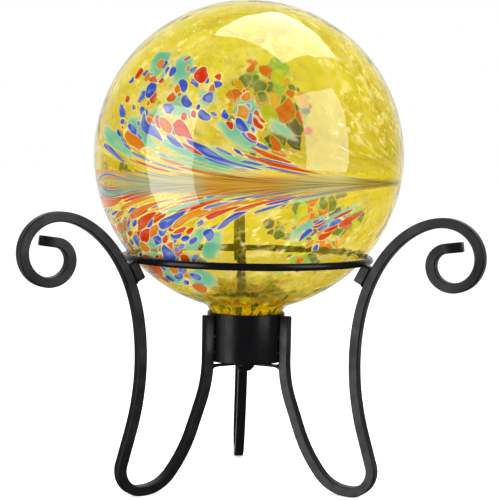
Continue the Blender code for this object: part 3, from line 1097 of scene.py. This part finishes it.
def make_welds(steel):
    """Beads from strand to tube, from arm to strand, and from rest to shank."""
    half = BAR / 2.0
    below_rest = REST_ABOVE_RING - REST_LENGTH - BEAD_OFF
    rest_end = REST_POINT + REST_INWARD * (half + WELD_GAP) + REST_ALONG * below_rest
    top_half = half * TOP_BEAD_SPAN
    rest_half = half * REST_BEAD_SPAN
    for number, (side, azimuth_deg) in enumerate(LEGS.items()):
        def level(radius, height, *places):
            return [on_leg(azimuth_deg, radius, height, across) for across in places]

        top = level(TUBE_RADIUS + TOP_BEAD_OFF, STRAND_TOP + BEAD_OFF, -top_half, 0.0, top_half)
        weld("weld_top_" + side, top, TOP_BEAD, steel, number)
        for mark, height in SEAM_HEIGHTS:
            for hand, across in (("a", -half - SEAM_OFF), ("b", half + SEAM_OFF)):
                seam = [on_leg(azimuth_deg, TUBE_RADIUS + SEAM_OFF, height + step, across)
                        for step in (-SEAM_HALF, SEAM_HALF)]
                weld("weld_" + mark + "_" + hand + "_" + side, seam, SEAM_BEAD, steel, number + height)
        foot = level(STRAND_RADIUS - half - BEAD_OFF, ARM_Z + BEAD_OFF, -ARM_BEAD_HALF, ARM_BEAD_HALF)
        weld("weld_arm_" + side, foot, ARM_BEAD, steel, number + ARM_BEAD_SEED)
        under = level(rest_end.x, rest_end.y, -rest_half, 0.0, rest_half)
        weld("weld_rest_" + side, under, REST_BEAD, steel, number + REST_BEAD_SEED)


def make_arms(steel):
    """Three thin arms that swell where they are welded to the strands."""
    outer = STRAND_RADIUS - BAR / 2.0 - WELD_GAP
    inner = BOSS_RADIUS * ARM_START
    for side, azimuth_deg in LEGS.items():
        vertices = []
        for row in range(ARM_ROWS):
            spot = row / (ARM_ROWS - 1)
            radius = inner + (outer - inner) * (1.0 - (1.0 - spot) ** ARM_CROWDING)
            swell = ARM_SWELL * math.exp(-(outer - radius) / ARM_SWELL_RUN)
            deep = (ARM_ROD + swell) / 2.0
            for angle in around(ROD_COLUMNS):
                across = (ARM_ROD / 2.0 + swell * ARM_SIDE_SWELL) * math.cos(angle)
                height = ARM_TOP - deep + deep * math.sin(angle)
                vertices.append(on_leg(azimuth_deg, radius, height, across))
        faces = capped_faces(ARM_ROWS, ROD_COLUMNS)
        steel_piece("spider_arm_" + side, vertices, faces, steel, "arm_" + side)


def make_boss(steel):
    """The lump of weld metal where the arms meet."""
    profile = [(BOSS_RADIUS * radius, ARM_TOP - BOSS_HEIGHT * drop) for radius, drop in BOSS_OUTLINE]
    vertices, faces = turned(profile, BOSS_COLUMNS, AXIS, closed=False)
    faces.append(tuple(range(BOSS_COLUMNS)))
    faces.append(tuple(range(len(vertices) - 1, len(vertices) - BOSS_COLUMNS - 1, -1)))
    middle = AXIS + Vector((0.0, 0.0, ARM_TOP - BOSS_HEIGHT / 2.0))
    for index, vertex in enumerate(vertices):
        lump = noise.noise(vertex * BOSS_LUMPS_PER_M)
        vertices[index] = middle + (vertex - middle) * (BOSS_SHRINK + BOSS_LUMP * lump)
    steel_piece("weld_boss", vertices, faces, steel, "centre_boss")


def make_world():
    """White all round for the eye and through the glass, and a dark studio in front for reflections."""
    world = bpy.data.worlds.new("studio")
    bpy.context.scene.world = world
    world.use_nodes = True
    g = Graph(world.node_tree)
    background = g.tree.nodes["Background"]
    background.inputs["Color"].default_value = WHITE
    _, y, z = g.split(g.coordinates("Generated"))
    backdrop = g.times(g.step(y, *BACKDROP_BACK_STEP), g.step(z, *BACKDROP_UP_STEP))
    ray = g.tree.nodes.new("ShaderNodeLightPath").outputs
    for_gloss = g.times(ray["Is Glossy Ray"], g.minus(backdrop, GLOSS_LOSS))
    for_diffuse = g.times(ray["Is Diffuse Ray"], -DIFFUSE_LOSS)
    g.put(background.inputs["Strength"], g.plus(for_gloss, for_diffuse, 1.0))


def area_light(name, centre, target, width, height, radiance, roll_deg=0.0):
    """A softbox that lights and is mirrored, but isn't seen itself."""
    data = bpy.data.lights.new(name, "AREA")
    data.shape = "RECTANGLE"
    data.size = width
    data.size_y = height
    data.energy = radiance * math.pi * width * height
    light = bpy.data.objects.new(name, data)
    light.location = centre
    aim = (Vector(target) - Vector(centre)).to_track_quat("-Z", "Y").to_matrix().to_4x4()
    roll = Matrix.Rotation(math.radians(roll_deg), 4, "Z")
    light.matrix_world = Matrix.Translation(centre) @ aim @ roll
    bpy.context.scene.collection.objects.link(light)
    light.visible_camera = False
    light.visible_transmission = False


def make_lights():
    """One softbox overhead, and one on each side that faces the ball."""
    below = (TOP_SOFTBOX[0], TOP_SOFTBOX[1], 0.0)
    area_light("top_softbox", TOP_SOFTBOX, below, *TOP_SOFTBOX_SIZE, TOP_SOFTBOX_RADIANCE,
               TOP_SOFTBOX_TURN_DEG)
    for name, (direction, width, height, radiance) in SIDE_SOFTBOXES.items():
        place = BALL_CENTRE + SOFTBOX_DISTANCE * Vector(direction).normalized()
        area_light(name, place, BALL_CENTRE, width, height, radiance)


def make_floor():
    bpy.ops.mesh.primitive_plane_add(size=FLOOR_SIZE, location=(0.0, 0.0, -FLOOR_DROP))
    floor = bpy.context.object
    floor.name = "floor"
    g = Material("pale_floor")
    g.set(Base_Color=FLOOR_COLOUR, Roughness=FLOOR_ROUGHNESS, Emission_Color=WHITE,
          Emission_Strength=FLOOR_GLOW)
    floor.data.materials.append(g.material)
    floor.visible_glossy = False


def make_camera():
    """A long lens a little left of the front, slightly above the ball's middle."""
    forward = Vector((math.sin(CAMERA_YAW) * math.cos(CAMERA_PITCH),
                      math.cos(CAMERA_YAW) * math.cos(CAMERA_PITCH), math.sin(CAMERA_PITCH)))
    level = Vector((math.cos(CAMERA_YAW), -math.sin(CAMERA_YAW), 0.0))
    up = level.cross(forward)
    right = math.cos(CAMERA_ROLL) * level + math.sin(CAMERA_ROLL) * up
    top = -math.sin(CAMERA_ROLL) * level + math.cos(CAMERA_ROLL) * up
    data = bpy.data.cameras.new("camera")
    data.sensor_width = SENSOR_MM
    data.lens = FOCAL_PIXELS * SENSOR_MM / PHOTO_PIXELS
    data.clip_start = CAMERA_NEAR
    camera = bpy.data.objects.new("camera", data)
    turn = Matrix((right, top, -forward)).transposed().to_4x4()
    camera.matrix_world = Matrix.Translation(CAMERA_PLACE) @ turn
    bpy.context.scene.collection.objects.link(camera)
    bpy.context.scene.camera = camera


def main():
    bpy.context.scene.view_settings.view_transform = "Standard"
    steel = coated_steel("powder_coat", sheen=0.21, roughness=0.32, grain=0.20, waves=0.35)
    sleeve = coated_steel("sleeve_coat", sheen=0.12, roughness=0.30, grain=0.04, waves=0.05)
    gloss = coated_steel("ring_coat", sheen=0.15, roughness=0.22, grain=0.05, waves=0.1)
    make_ball(art_glass("art_glass_outside", False), art_glass("art_glass_inside", True))
    make_legs(steel)
    make_rests(steel)
    make_tube(sleeve)
    make_ring(gloss)
    make_welds(steel)
    make_boss(steel)
    make_arms(steel)
    make_world()
    make_lights()
    make_floor()
    make_camera()


main()
